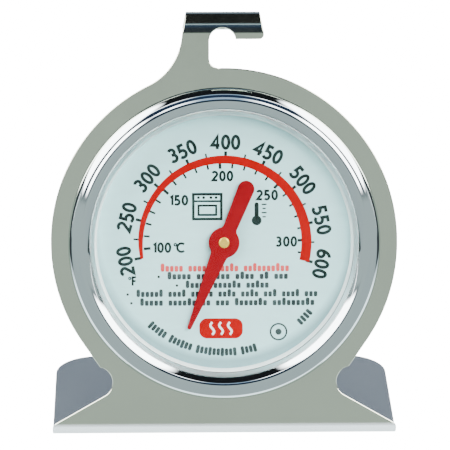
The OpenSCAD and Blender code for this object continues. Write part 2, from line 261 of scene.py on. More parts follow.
def sheet(loops, thickness, rim, rows=(), place=None):
    """A sheet with rounded edges. loops are outlines with the material on their left, rows
    are lines of constant y that it is divided along, and place(x, y, depth) gives each
    point with its normal and its direction of growing y. Returns verts, faces, normals."""
    place = place or (lambda x, y, d: ((x, y, -d), (0, 0, 1), (0, 1, 0)))
    profile = rim_profile(thickness, rim)
    inset = profile[0][0]
    verts, faces, normals, flat, edges, outlines = [], [], [], [], [], []
    for loop in loops:
        points = rim_points(loop, inset, rows)
        n, base, first = len(points), len(verts), len(flat)
        for shift, depth, tilt in profile:
            c, s = cos(radians(tilt)), sin(radians(tilt))
            for x, y, nx, ny, far in points:
                at, face_n, along = place(x - nx * shift * far, y - ny * shift * far, depth)
                verts.append(at)
                normals.append([c * f + s * ny * g + (s * nx if k == 0 else 0)
                                for k, (f, g) in enumerate(zip(face_n, along))])
        for k in range(len(profile) - 1):
            a, b = base + k * n, base + (k + 1) * n
            faces += [[a + i, b + i, b + (i + 1) % n, a + (i + 1) % n] for i in range(n)]
        last = base + (len(profile) - 1) * n
        flat += [(x - nx * inset * far, y - ny * inset * far, base + i, last + i)
                 for i, (x, y, nx, ny, far) in enumerate(points)]
        edges += [(first + i, first + (i + 1) % n) for i in range(n)]
        outlines.append([f[:2] for f in flat[first:]])
    for s in rows:
        on = sorted((f[0], i) for i, f in enumerate(flat) if abs(f[1] - s) < 1e-4)
        for (xa, a), (xb, b) in zip(on, on[1:]):
            if xb - xa > 0.3 and inside(outlines, np.array([[(xa + xb) / 2, s + 1e-5]]))[0]:
                edges.append((a, b))
    points, _, triangles, came_from, _, _ = delaunay_2d_cdt(
        [Vector(f[:2]) for f in flat], edges, [], 0, 1e-7)
    xy = np.array([tuple(p) for p in points])
    keep = inside(outlines, xy[np.array(triangles)].mean(1))
    for t, ok in zip(triangles, keep):
        if ok:
            source = [came_from[i][0] for i in t]
            faces.append([flat[i][2] for i in source])
            faces.append([flat[i][3] for i in reversed(source)])
    return verts, faces, normals


# ---- material building ----

def material(name):
    mat = bpy.data.materials.new(name)
    mat.use_nodes = True
    return mat, mat.node_tree.nodes["Principled BSDF"]


def add_node(tree, kind, **values):
    node = tree.nodes.new(kind)
    for key, value in values.items():
        if key in node.inputs:
            node.inputs[key].default_value = value
        else:
            setattr(node, key, value)
    return node


def maths(tree, kind, *values):
    """A maths node over numbers and sockets."""
    node = add_node(tree, "ShaderNodeMath", operation=kind)
    for socket, value in zip(node.inputs, values):
        if isinstance(value, (int, float)):
            socket.default_value = value
        else:
            tree.links.new(value, socket)
    return node.outputs[0]


def mixed(tree, factor, first, second):
    """Mixes two colours, each given as numbers or as a socket."""
    node = add_node(tree, "ShaderNodeMix", data_type="RGBA")
    tree.links.new(factor, node.inputs["Factor"])
    for key, value in (("A", first), ("B", second)):
        if isinstance(value, tuple):
            node.inputs[key].default_value = (*value, 1)
        else:
            tree.links.new(value, node.inputs[key])
    return node.outputs["Result"]


def coordinates(tree, kind="Object"):
    split = add_node(tree, "ShaderNodeSeparateXYZ")
    tree.links.new(add_node(tree, "ShaderNodeTexCoord").outputs[kind], split.inputs[0])
    return split.outputs


def noise(mat, scale, detail=3.0, stretch=(1, 1, 1), roughness=0.5):
    """Noise over the object's own coordinates, with scale in features per metre."""
    tree = mat.node_tree
    coord = add_node(tree, "ShaderNodeTexCoord")
    mapping = add_node(tree, "ShaderNodeMapping")
    mapping.inputs["Scale"].default_value = stretch
    texture = add_node(tree, "ShaderNodeTexNoise", Scale=scale, Detail=detail, Roughness=roughness)
    tree.links.new(coord.outputs["Object"], mapping.inputs["Vector"])
    tree.links.new(mapping.outputs["Vector"], texture.inputs["Vector"])
    return texture.outputs["Fac"]


def spread(mat, value, low, high, start=0.3, end=0.7):
    """Maps a value from the range start to end onto the range low to high."""
    node = add_node(mat.node_tree, "ShaderNodeMapRange")
    for key, number in zip(("From Min", "From Max", "To Min", "To Max"), (start, end, low, high)):
        node.inputs[key].default_value = number
    mat.node_tree.links.new(value, node.inputs["Value"])
    return node.outputs["Result"]


def blend_colours(mat, value, first, second, start=0.3, end=0.7):
    ramp = add_node(mat.node_tree, "ShaderNodeValToRGB")
    ramp.color_ramp.elements[0].position, ramp.color_ramp.elements[1].position = start, end
    ramp.color_ramp.elements[0].color = (*first, 1)
    ramp.color_ramp.elements[1].color = (*second, 1)
    mat.node_tree.links.new(value, ramp.inputs["Fac"])
    return ramp.outputs["Color"]


def bump(mat, shader, value, strength):
    node = add_node(mat.node_tree, "ShaderNodeBump", Strength=strength, Distance=0.00002)
    mat.node_tree.links.new(value, node.inputs["Height"])
    mat.node_tree.links.new(node.outputs["Normal"], shader.inputs["Normal"])


def scaled(colour, factor):
    return tuple(min(c * factor, 1.0) for c in colour)


def metal(name, colour, rough, grain=900, stretch=(0.15, 1, 1), relief=0.08, smear=0.3, shade=0.06):
    """Sheet or turned metal: rolled or turned grain in the relief, cloudy tone and smears."""
    mat, shader = material(name)
    link = mat.node_tree.links.new
    shader.inputs["Metallic"].default_value = 1.0
    cloud = noise(mat, 70, 3)
    fine = noise(mat, grain, 4, stretch)
    link(blend_colours(mat, cloud, scaled(colour, 1 - shade), scaled(colour, 1 + shade)),
         shader.inputs["Base Color"])
    link(spread(mat, noise(mat, 160, 4, roughness=0.7), rough * (1 - smear), rough * (1 + smear)),
         shader.inputs["Roughness"])
    bump(mat, shader, fine, relief)
    return mat


def distance_from(mat, place, low, high, start, end):
    """Maps the distance from a place, start to end in plate millimetres, onto low to high."""
    link = mat.node_tree.links.new
    length = add_node(mat.node_tree, "ShaderNodeVectorMath", operation="DISTANCE")
    length.inputs[1].default_value = PLATE @ Vector([c * MM for c in place])
    link(add_node(mat.node_tree, "ShaderNodeTexCoord").outputs["Object"], length.inputs[0])
    return spread(mat, length.outputs["Value"], low, high, start * MM, end * MM)


def plate_finish():
    """Satin sheet steel with a paler, less metallic painted highlight along the front of its fold, and
    painted shade on its foot, which is also rougher and less metallic.
    """
    mat = metal("satin_plate_steel", PLATE_STEEL, 0.12, 1400, (0.12, 1, 1), 0.015, 0.2, 0.03)
    tree, link = mat.node_tree, mat.node_tree.links.new
    shader = tree.nodes["Principled BSDF"]
    colour, rough = (shader.inputs[key].links[0].from_socket for key in ("Base Color", "Roughness"))
    _, y, z = coordinates(tree)
    # painted highlight: the front of the fold is paler, where the bend catches the light
    fold = maths(tree, "MULTIPLY", spread(mat, y, 1, 0, *FOLD_BACK), spread(mat, z, 1, 0, *FOLD_TOP))
    # painted shade: the foot is darker, and also rougher and less metallic
    foot = maths(tree, "MULTIPLY", spread(mat, y, 0, 1, *FOLD_BACK), spread(mat, z, 1, 0, *FOOT_TOP))
    link(mixed(tree, foot, mixed(tree, fold, colour, FOLD_PAINTED_HIGHLIGHT), FOOT_PAINTED_SHADE),
         shader.inputs["Base Color"])
    # the painted highlight on the fold and the painted shade on the foot also take the metal's sheen down
    link(maths(tree, "MINIMUM", spread(mat, fold, 1, 0.5, 0, 1), spread(mat, foot, 1, 0.75, 0, 1)),
         shader.inputs["Metallic"])
    link(maths(tree, "MAXIMUM", rough, spread(mat, foot, 0, 0.3, 0, 1)), shader.inputs["Roughness"])
    return mat


def bezel_finish():
    """Bright metal whose lip beside the glass is satin."""
    mat = metal("bright_bezel", (0.70, 0.76, 0.78), 0.04, 700, (1, 1, 1), 0.03, 0.5, 0.02)
    rough = mat.node_tree.nodes["Principled BSDF"].inputs["Roughness"]
    satin = distance_from(mat, (0, 0, 1.5), 0.34, 0.0, 25.6, 25.95)
    mat.node_tree.links.new(maths(mat.node_tree, "MAXIMUM", rough.links[0].from_socket, satin), rough)
    return mat


def paint(name, colour, rough, gloss=0.5):
    """Printed ink or sprayed paint, with a faint mottle and a soft surface."""
    mat, shader = material(name)
    link = mat.node_tree.links.new
    link(blend_colours(mat, noise(mat, 200, 3), scaled(colour, 0.95), scaled(colour, 1.05)),
         shader.inputs["Base Color"])
    link(spread(mat, noise(mat, 400, 3), rough * 0.85, rough * 1.15), shader.inputs["Roughness"])
    shader.inputs["Specular IOR Level"].default_value = gloss
    bump(mat, shader, noise(mat, 1200, 2), 0.05)
    return mat


def dial_finish():
    """Pale anodised dial: cool white with a fine grain, and painted shade along its lower rim."""
    mat, shader = material("dial_white")
    tree, link = mat.node_tree, mat.node_tree.links.new
    # painted shade: darker towards the rim, most at the bottom, measured from a middle set 2.5 mm up
    rim_shade = distance_from(mat, (0, 2.5, DIAL_Z), 0, 1, 23.8, 25.6)
    tone = blend_colours(mat, rim_shade, DIAL_COLOUR, DIAL_RIM_SHADE, 0, 1)
    grain = blend_colours(mat, noise(mat, 900, 4, (0.3, 1, 1)), (0.95, 0.95, 0.95), (1, 1, 1))
    mix = add_node(tree, "ShaderNodeMix", data_type="RGBA", blend_type="MULTIPLY")
    mix.inputs["Factor"].default_value = 1.0
    link(tone, mix.inputs["A"])
    link(grain, mix.inputs["B"])
    link(mix.outputs["Result"], shader.inputs["Base Color"])
    link(spread(mat, noise(mat, 500, 3), 0.4, 0.55), shader.inputs["Roughness"])
    shader.inputs["Metallic"].default_value = 0.15
    return mat


def glass_finish():
    """Clear window glass that lets the light through to the dial below it."""
    mat, shader = material("clear_glass")
    tree, link = mat.node_tree, mat.node_tree.links.new
    link(blend_colours(mat, noise(mat, 50, 2), (0.97, 0.985, 0.98), (0.99, 1.0, 0.995)),
         shader.inputs["Base Color"])
    link(spread(mat, noise(mat, 120, 3), 0.0, 0.012), shader.inputs["Roughness"])
    shader.inputs["Transmission Weight"].default_value = 1.0
    shader.inputs["IOR"].default_value = 1.2
    path = add_node(tree, "ShaderNodeLightPath")
    clear = add_node(tree, "ShaderNodeBsdfTransparent", Color=(0.96, 0.98, 0.97, 1))
    mix = add_node(tree, "ShaderNodeMixShader")
    link(maths(tree, "MAXIMUM", path.outputs["Is Shadow Ray"], path.outputs["Is Glossy Ray"]),
         mix.inputs[0])
    link(shader.outputs[0], mix.inputs[1])
    link(clear.outputs[0], mix.inputs[2])
    link(mix.outputs[0], tree.nodes["Material Output"].inputs["Surface"])
    return mat


# The second colour is the fold's painted highlight, the third the foot's painted shade.
PLATE_STEEL, FOLD_PAINTED_HIGHLIGHT, FOOT_PAINTED_SHADE = (0.70, 0.73, 0.60), (0.72, 0.78, 0.79), (0.30, 0.33, 0.35)
# Where the fold's painted highlight and the foot's painted shade fade, in metres of the shared frame's Y, Z
# and Z
FOLD_BACK, FOLD_TOP, FOOT_TOP = (-0.0170, -0.0164), (0.0025, 0.0029), (0.0013, 0.0018)
DIAL_COLOUR = (0.56, 0.90, 0.93)
# colour of the painted shade along the dial's rim
DIAL_RIM_SHADE = (0.25, 0.42, 0.45)
RED_PAINT = (0.21, 0.002, 0.006)
RED_INK = (0.34, 0.003, 0.003)
DARK_INK = (0.014, 0.026, 0.024)
ROSE_INK = (0.62, 0.07, 0.07)
GREY_INK = (0.034, 0.05, 0.05)

plate_steel = plate_finish()
case_steel = metal("drawn_case_steel", (0.62, 0.66, 0.66), 0.24, 900, (1, 1, 0.2), 0.1)
chrome = bezel_finish()
dark_steel = metal("oiled_bridge_steel", (0.36, 0.38, 0.40), 0.32)
rivet_metal = metal("rivet_steel", (0.34, 0.35, 0.37), 0.3, 1500, (1, 1, 1))
shaft_steel = metal("ground_shaft_steel", (0.62, 0.63, 0.64), 0.16, 1500, (1, 1, 0.2))
brass = metal("turned_brass", (0.78, 0.52, 0.13), 0.2, 1600, (1, 1, 1), 0.12)
hub_metal = metal("bright_brass", (0.98, 0.66, 0.10), 0.25, 1800, (1, 1, 1), 0.15)
hub_metal.node_tree.nodes["Principled BSDF"].inputs["Metallic"].default_value = 0.6
strip_metal = metal("bimetal_strip", (0.50, 0.38, 0.26), 0.3, 1200, (1, 1, 0.15), 0.1)
rubber = paint("gasket_rubber", (0.035, 0.037, 0.04), 0.6)
spacer_white = paint("spacer_white", (0.93, 0.95, 0.95), 0.45)
red_paint = paint("pointer_red", RED_PAINT, 0.42, gloss=0.04)
red_ink = paint("print_red", RED_INK, 0.5, gloss=0.02)
rose_ink = paint("print_rose", ROSE_INK, 0.5, gloss=0.05)
dark_ink = paint("print_dark", DARK_INK, 0.5, gloss=0.05)
grey_ink = paint("print_grey", GREY_INK, 0.55, gloss=0.08)
white_ink = paint("print_white", (0.85, 0.88, 0.88), 0.5, gloss=0.2)
dial_white = dial_finish()
clear_glass = glass_finish()


# ---- stand ----

def flatten(v):
    """Length along the flat sheet of a front view height, in the fold or in the curl."""
    if v < FOLD_V:
        return FOLD_V - FOLD_R * asin(min((FOLD_V - v) / FOLD_R, 1))
    if v > HOOK_V:
        return HOOK_V + CURL_R * asin(min((v - HOOK_V) / CURL_R, 1))
    return v


def bent(u, s, d):
    """Place, normal and direction of a point of the flat sheet after bending."""
    if s > HOOK_V:
        a = (s - HOOK_V) / CURL_R
        r = CURL_R - d
        v, n = HOOK_V + r * sin(a), -CURL_R + r * cos(a)
        normal, along = (0, sin(a), cos(a)), (0, cos(a), -sin(a))
    elif s < FOLD_V:
        turn = radians(90 + LEAN)
        a = min((FOLD_V - s) / FOLD_R, turn)
        rest = (FOLD_V - s) - FOLD_R * a
        r = FOLD_R - d
        v = FOLD_V - r * sin(a) - rest * cos(a)
        n = -FOLD_R + r * cos(a) - rest * sin(a)
        normal, along = (0, -sin(a), cos(a)), (0, cos(a), sin(a))
    else:
        v, n, normal, along = s, -d, (0, 0, 1), (0, 1, 0)
    return (u, v - DIAL_V, n), normal, along


def stand_outline():
    """The flat sheet's outline, anticlockwise from the foot's rear right corner."""
    rear = FOLD_V - FOLD_R * radians(90 + LEAN) - FOOT_FLAT
    b = FOOT_CORNER
    sk = radians(SKIRT_ANGLE)
    start_u, start_v = NOTCH[0] - NOTCH[2] * sin(sk), NOTCH[1] - NOTCH[2] * cos(sk)
    edge_v = start_v - (FOOT_HALF - start_u) * tan(sk)
    drop = SKIRT_CORNER * tan(radians(45 - SKIRT_ANGLE / 2))
    skirt = arc(FOOT_HALF - SKIRT_CORNER, edge_v - drop, SKIRT_CORNER, 0, 90 - SKIRT_ANGLE, 8)
    fl = radians(FLANK)
    tangent = (DISC_R * cos(fl), DIAL_V - DISC_R * sin(fl))
    to_u, to_v = tangent[0] - NOTCH[0], tangent[1] - NOTCH[1]
    along = to_u * sin(fl) + to_v * cos(fl)
    away = to_u * cos(fl) - to_v * sin(fl)
    meet = along - sqrt(NOTCH[2] ** 2 - away ** 2)
    meet_u, meet_v = tangent[0] - meet * sin(fl), tangent[1] - meet * cos(fl)
    notch_end = degrees(atan2(meet_v - NOTCH[1], meet_u - NOTCH[0]))
    half = arc(FOOT_HALF - b, rear + b, b, -90, 0, 14)
    half += [(u, flatten(v)) for u, v in skirt]
    half += arc(NOTCH[0], NOTCH[1], NOTCH[2], 270 - SKIRT_ANGLE, notch_end, 22)
    half += arc(0, DIAL_V, DISC_R, -FLANK, 0, 30)
    top = DIAL_V + STRETCH + DISC_R
    stem_u = ARCH[0] - ARCH[2]
    fillet, tip, corner = 1.8, 0.9, 0.6
    right_side = arc(0, DIAL_V + STRETCH, DISC_R, 0, degrees(acos((stem_u + fillet) / DISC_R)), 72)
    right_side += arc(stem_u + fillet, top + fillet, fillet, 270, 180, 10)
    low = degrees(asin((TIP_V - ARCH[1]) / ARCH[2]))
    right_side += [(u, flatten(v)) for u, v in arc(*ARCH, 180, low, 24)]
    right_side += arc(HOOK_RIGHT - tip, TIP_V + tip, tip, 270, 360, 8)
    end = HOOK_V + CURL_R * radians(CURL_SWEEP)

    def lean(s):
        return CURL_LEAN * sin((s - HOOK_V) / CURL_R)

    rise = [HOOK_V + (end - corner - HOOK_V) * i / 30 for i in range(31)]
    curl = [(HOOK_RIGHT - lean(s), s) for s in rise]
    curl += arc(HOOK_RIGHT - lean(end) - corner, end - corner, corner, 0, 90, 5)[1:]
    curl += arc(-HOOK_LEFT + lean(end) + corner, end - corner, corner, 90, 180, 5)[:-1]
    curl += [(-HOOK_LEFT + lean(s), s) for s in reversed(rise)]
    blend_u = HOOK_LEFT + STEM_BLEND
    reach = DISC_R + STEM_BLEND
    blend_v = DIAL_V + STRETCH + sqrt(reach ** 2 - blend_u ** 2)
    first = -degrees(asin((blend_v - HOOK_V) / STEM_BLEND))
    last = -degrees(acos(blend_u / reach))
    left_side = arc(-blend_u, blend_v, STEM_BLEND, first, last, 20)[1:]
    left_side += arc(0, DIAL_V + STRETCH, DISC_R, 180 + last, 180, 48)[1:]
    return half + right_side + curl + left_side + [(-u, s) for u, s in reversed(half)]


def slot_outline(middle):
    """Curved slot for one of the bezel's tabs, with its material on the left."""
    start, end = middle - SLOT_HALF, middle + SLOT_HALF
    outer = arc(0, DIAL_V, BEZEL_R - 0.3, start, end, 8)
    inner = arc(0, DIAL_V, BEZEL_R - CASE_T - 0.1, end, start, 8)
    return (outer + inner)[::-1]


def make_stand():
    curl_rows = [HOOK_V + CURL_R * radians(CURL_SWEEP) * i / 30 for i in range(30)]
    fold_rows = [FOLD_V - FOLD_R * radians(90 + LEAN) * i / 20 for i in range(21)]
    loops = [stand_outline(), circle(0, DIAL_V, CASE_R + 0.1, 160, True)]
    loops += [slot_outline(a) for a in TABS]
    verts, faces, normals = sheet(loops, SHEET, 0.2, curl_rows + fold_rows, bent)
    obj = make_piece("stand_sheet", verts, faces, plate_steel, "plate_steel", normals=normals)
    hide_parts("stand_plate")


# ---- case, bezel and glass ----

def make_case():
    floor_r, flange_r, t = 19.6, BEZEL_R - 0.9, CASE_T
    section = rounded([
        (floor_r, FLOOR_Z, 0), (PAN_R, FLOOR_Z, 0.8), (PAN_R, LEDGE_Z, 0.3),
        (CASE_R - t, LEDGE_Z, 0.25), (CASE_R - t, t, 0.3), (flange_r, t, 0.1), (flange_r, 0, 0.1),
        (CASE_R, 0, 0.12), (CASE_R, LEDGE_Z - t, 0.6), (PAN_R + t, LEDGE_Z - t, 0.25),
        (PAN_R + t, FLOOR_Z - t, 1.2), (floor_r, FLOOR_Z - t, 0)], 6)
    n = 192
    verts, faces = lathe(section, n)
    faces = [f for f in faces if not all(hypot(*verts[i][:2]) < floor_r + 1e-6 for i in f)]
    holes = [(*clock(VENT_RING, 60 - 60 * i), VENT_R) for i in range(VENTS)]
    holes += [(0, 0, BUSH_HOLE)]
    holes += [(x, y, RIVET_HOLE) for x, y in ((RIVET_U, 0), (-RIVET_U, 0), (0, ANCHOR_V))]
    loops = [circle(x, y, r, 40 if r > RIVET_HOLE else 24, True) for x, y, r in holes]
    v, f, _ = sheet([circle(0, 0, floor_r, n)] + loops, t, 0.1)
    edge = floor_r - 0.11   # the disc's own rim is dropped, and what is left is drawn out to the wall
    disc = [face for face in f if any(hypot(*v[i][:2]) <= edge for i in face)]
    for i, (x, y, z) in enumerate(v):
        k = floor_r / hypot(x, y) if hypot(x, y) > edge else 1
        v[i] = (x * k, y * k, z + FLOOR_Z)
    obj = make_piece("rear_case_shell", *joined([(verts, faces), (v, disc)]), case_steel, "case_steel")
    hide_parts("rear_case")


BEZEL_TILTS = [  # radius, and tilt of the surface there: outwards positive, inwards negative
    (28.47, 15), (28.35, 23), (28.25, 27), (28.02, 27), (27.86, 20), (27.7, 8), (27.6, 0),
    (27.25, 0), (27.05, -16), (26.9, -26), (26.75, -31), (26.6, -36), (26.3, -42), (26.0, -45),
    (25.8, -47), (25.6, -54), (25.1, -60), (25.02, -64),
]


def bezel_section():
    """Round shoulder, a small step up to the flat band, and the slope down to the glass."""
    cr, cz = BEZEL_R - SHOULDER_R, SHOULDER_Z
    surface = [(x, y, 90 - a) for (x, y), a in
               zip(arc(cr, cz, SHOULDER_R, 0, 75, 20), np.linspace(0, 75, 21))]
    z = surface[-1][1]
    for (r_a, t_a), (r_b, t_b) in zip(BEZEL_TILTS, BEZEL_TILTS[1:]):
        for k in range(1, 5):
            tilt = t_a + (t_b - t_a) * k / 4
            z += (r_a - r_b) / 4 * tan(radians(t_a + (t_b - t_a) * (k - 0.5) / 4))
            surface.append((r_a + (r_b - r_a) * k / 4, z, tilt))
    within = [(r - CASE_T * sin(radians(t)), z - CASE_T * cos(radians(t))) for r, z, t in surface]
    # the inner side follows the surface, but stops short of the glass
    lip = [(LIP_R, GLASS_TOP + 0.08), (LIP_R, GLASS_TOP), (LIP_R + CASE_T, GLASS_TOP)]
    return ([(BEZEL_R, 0.0)] + [(r, z) for r, z, _ in surface] + lip +
            [(r, z) for r, z in reversed(within) if z > GLASS_TOP + 0.05 or r > 27] +
            [(BEZEL_R - CASE_T, 0.0)])


def tab_solid(middle):
    """One tab: a strip of the bezel's wall that is folded in flat behind the plate."""
    far, near, end = BEZEL_R - 0.05, BEZEL_R - CASE_T + 0.05, BEZEL_R - 3
    section = rounded([(far, 0.8, 0), (near, 0.8, 0), (near, -SHEET, 0.08), (end, -SHEET, 0.1),
                       (end, -SHEET - CASE_T, 0.15), (far, -SHEET - CASE_T, 0.4)], 5)
    n, steps = len(section), 6
    angles = np.radians(np.linspace(middle - TAB_HALF, middle + TAB_HALF, steps + 1))
    verts = [(r * cos(a), r * sin(a), z) for a in angles for r, z in section]
    faces = [[k * n + i, (k + 1) * n + i, (k + 1) * n + (i + 1) % n, k * n + (i + 1) % n]
             for k in range(steps) for i in range(n)]
    return verts, faces + [list(range(n)), list(range(steps * n, (steps + 1) * n))[::-1]]


def make_bezel():
    solids = [lathe(bezel_section(), 288)] + [tab_solid(a) for a in TABS]
    obj = make_piece("bezel_shell", *joined(solids), chrome, "bezel_steel", sharp=30)
    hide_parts("bezel_ring")


def make_glass_stack():
    back = GLASS_TOP - GLASS_T
    seat = back - GASKET_T
    section = rounded([(0, back, 0), (LENS_R, back, 0.15), (LENS_R, GLASS_TOP, 0.15), (0, GLASS_TOP, 0)], 3)
    lens = turned("glass_disc", section, clear_glass, "glass", sharp=20)
    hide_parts("lens")
    inner = STACK_R - 0.28
    section = rounded([(inner, seat, 0.05), (STACK_R, seat, 0.05), (STACK_R, back, 0.05),
                       (inner, back, 0.05)], 3)
    gasket = turned("gasket_ring", section, rubber, "gasket")
    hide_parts("lens_gasket")
    section = rounded([(STACK_R - 0.85, DIAL_Z, 0.02), (STACK_R, DIAL_Z, 0.05), (STACK_R, seat, 0.05),
                       (STACK_R - 0.4, seat, 0.1)], 3)
    spacer = turned("spacer_wall", section, spacer_white, "spacer_white")
    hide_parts("spacer_ring")


# ---- dial and its print ----

def make_dial():
    hole, back = 1.7, DIAL_Z - DIAL_T
    section = rounded([(hole, back, 0.05), (STACK_R, back, 0.1), (STACK_R, DIAL_Z, 0.1),
                       (hole, DIAL_Z, 0.05)], 3)
    dial = turned("dial_disc", section, dial_white, "dial_face")
    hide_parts("dial_plate")


def prism(points):
    n = len(points)
    verts = [(x, y, z) for z in (DIAL_Z - PRINT_FOOT, DIAL_Z + INK) for x, y in points]
    faces = [[i, (i + 1) % n, n + (i + 1) % n, n + i] for i in range(n)]
    return verts, faces + [list(range(n))[::-1], list(range(n, 2 * n))]


def strip(right_side, left_side, top=DIAL_Z + INK, loop=False):
    """A flat printed strip between two edges that have as many points each."""
    n = len(right_side)
    verts = [(x, y, z) for z in (DIAL_Z - PRINT_FOOT, top) for x, y in [*right_side, *left_side]]
    faces = []
    for i in range(n - 1):
        faces += [[i, n + i, n + i + 1, i + 1], [2 * n + i, 2 * n + i + 1, 3 * n + i + 1, 3 * n + i],
                  [i, i + 1, 2 * n + i + 1, 2 * n + i], [n + i, 3 * n + i, 3 * n + i + 1, n + i + 1]]
    if not loop:
        faces += [[0, 2 * n, 3 * n, n], [n - 1, 2 * n - 1, 4 * n - 1, 3 * n - 1]]
    return verts, faces


def bar(x, y, length, height, turn=0.0, ends=0.45):
    """A small printed bar with rounded ends, turned clockwise about its middle."""
    a, b, r = length / 2, height / 2, ends * height
    c, s = cos(radians(turn)), sin(radians(turn))
    flat = rounded([(-a, -b, r), (a, -b, r), (a, b, r), (-a, b, r)], 3)
    return prism([(x + px * c + py * s, y - px * s + py * c) for px, py in flat])


def band(path, width):
    """A printed line of even width along a path of points, with mitred corners."""
    p = np.array(path, float)
    ahead = np.diff(p, axis=0)
    ahead /= np.linalg.norm(ahead, axis=1)[:, None]
    loop = np.linalg.norm(p[0] - p[-1]) < 1e-6
    before = np.vstack([ahead[-1:] if loop else ahead[:1], ahead])
    after = np.vstack([ahead, ahead[:1] if loop else ahead[-1:]])
    n = np.stack([before[:, 1] + after[:, 1], -before[:, 0] - after[:, 0]], 1)
    length = np.linalg.norm(n, axis=1)[:, None]
    n = n / length * np.minimum(2 / length, 2.2) * width / 2
    return strip(p + n, p - n, loop=loop)


def tick(angle, inner, outer, width):
    return band([clock(inner, angle), clock(outer, angle)], width)


def printed(name, solids, ink):
    make_piece(name, *joined(solids), ink, "dial_face", sharp=30)


def at_f(value):
    return F_AT_LOW + (value - F_LOW) * F_STEP


def at_c(value):
    return C_AT_LOW + (value - C_LOW) * C_STEP


# Centre lines of the generic signs that the dial needs, one unit high
GLYPHS = {
    "0": [[(0.30 + 0.225 * cos(a), 0.5 + 0.43 * sin(a)) for a in np.linspace(0.01, 2 * pi + 0.01, 33)]],
    "1": [[(0.10, 0.76), (0.31, 0.90), (0.31, 0.0)]],
    "2": [arc(0.28, 0.69, 0.235, 155, -25, 12) + [(0.34, 0.40), (0.07, 0.07), (0.55, 0.07)]],
    "3": [arc(0.25, 0.715, 0.205, 140, -90, 14) + [(0.20, 0.51)],
          [(0.20, 0.51)] + arc(0.25, 0.29, 0.23, 82, -145, 16)],
    "4": [[(0.42, 0.0), (0.42, 0.90), (0.04, 0.27), (0.58, 0.27)]],
    "5": [[(0.50, 0.93), (0.15, 0.93), (0.13, 0.54)] + arc(0.25, 0.31, 0.25, 105, -142, 16)],
    "6": [[(0.50 - 0.425 * cos(a), 0.33 + 0.60 * sin(a)) for a in np.radians(np.linspace(84, 6, 12))] +
          arc(0.30, 0.29, 0.225, 180, 525, 24)],
    "C": [arc(0.42, 0.5, 0.43, 50, 310, 20)],
    "F": [[(0.12, 0.0), (0.12, 0.93), (0.50, 0.93)], [(0.12, 0.50), (0.46, 0.50)]],
    "\u00b0": [arc(0.16, 0.80, 0.12, 0, 360, 14)],
    " ": [],
}
ADVANCE = {"1": 0.52, "C": 0.80, "F": 0.60, "\u00b0": 0.36, " ": 0.16}


def numeral(text, x, y, height, turn=0.0, weight=0.22, spacing=0.70):
    """Numbers as strokes: their centre, digit height and clockwise turn."""
    c, s = cos(radians(turn)), sin(radians(turn))
    width = sum(ADVANCE.get(sign, spacing) for sign in text) - 0.08
    strokes, place = [], -width / 2
    for sign in text:
        for path in GLYPHS[sign]:
            flat = [((px + place) * height, (py - 0.5) * height) for px, py in path]
            strokes.append(band([(x + px * c + py * s, y - px * s + py * c) for px, py in flat],
                                weight * height * (0.6 if sign == "\u00b0" else 1)))
        place += ADVANCE.get(sign, spacing)
    return joined(strokes)


def arc_edges(angle):
    """Inner and outer radius of the red arc, which widens towards the hot end."""
    grown = sqrt(max(0.0, (angle - at_f(F_LOW)) / (at_f(F_HIGH) - at_f(F_LOW))))
    return 15.85 - 0.92 * grown, 16.4 + 0.5 * grown


def make_scale():
    ticks = []
    for v in range(F_LOW, F_HIGH + 1, 25):
        long = v % 50 == 0
        ticks.append(tick(at_f(v), 16.2, 17.55 if long else 17.45, 0.55 if long else 0.34))
    for v in range(C_LOW, C_HIGH + 1, 10):
        long = v % 50 == 0
        ticks.append(tick(at_c(v), 14.2 if long else 14.35, 15.5, 0.52 if long else 0.38))
    printed("scale_ticks", ticks, dark_ink)
    angles = np.linspace(at_f(F_LOW) - 0.6, at_f(F_HIGH) + 0.4, 97)
    inner, outer = zip(*[[clock(r, a) for r in arc_edges(a)] for a in angles])
    printed("scale_arc", [strip(outer, inner, DIAL_Z + INK * 1.3)], red_ink)


def make_numbers():
    ring, tall, low = 19.33, 2.75, 1.9
    big = [numeral(str(v), *clock(ring, at_f(v)), tall, at_f(v)) for v in range(F_LOW, F_HIGH + 1, 50)]
    printed("numbers_fahrenheit", big, dark_ink)
    places = {"150": (-8.65, 8.15), "200": (-0.2, 12.8), "250": (8.4, 9.1), "300": (12.1, 0.1)}
    small = [numeral(text, x, y, low, weight=0.24, spacing=0.76) for text, (x, y) in places.items()]
    small += [numeral("100 \u00b0C", -10.7, -1.0, low, weight=0.24, spacing=0.74),
              numeral("\u00b0F", -17.7, -7.45, 1.75)]
    printed("numbers_celsius", small, dark_ink)


def word_line(y, start, end, height, words, dot=True):
    """A line of small blocks, tall and short, where a real dial has small print."""
    count = sum(words) + len(words) - 1
    pitch = (end - start) / count
    blocks, k = [], 0
    if dot:
        blocks.append(bar(start - 1.6, y, 0.5, 0.5, ends=0.49))
    for word in words:
        for _ in range(word):
            tall = (k * 7) % 5 < 1
            lift = 0.2 * height if tall else 0
            blocks.append(bar(start + (k + 0.5) * pitch, y + lift, pitch * 0.78,
                              height * (1.3 if tall else 0.9), ends=0.2))
            k += 1
        k += 1
    return blocks


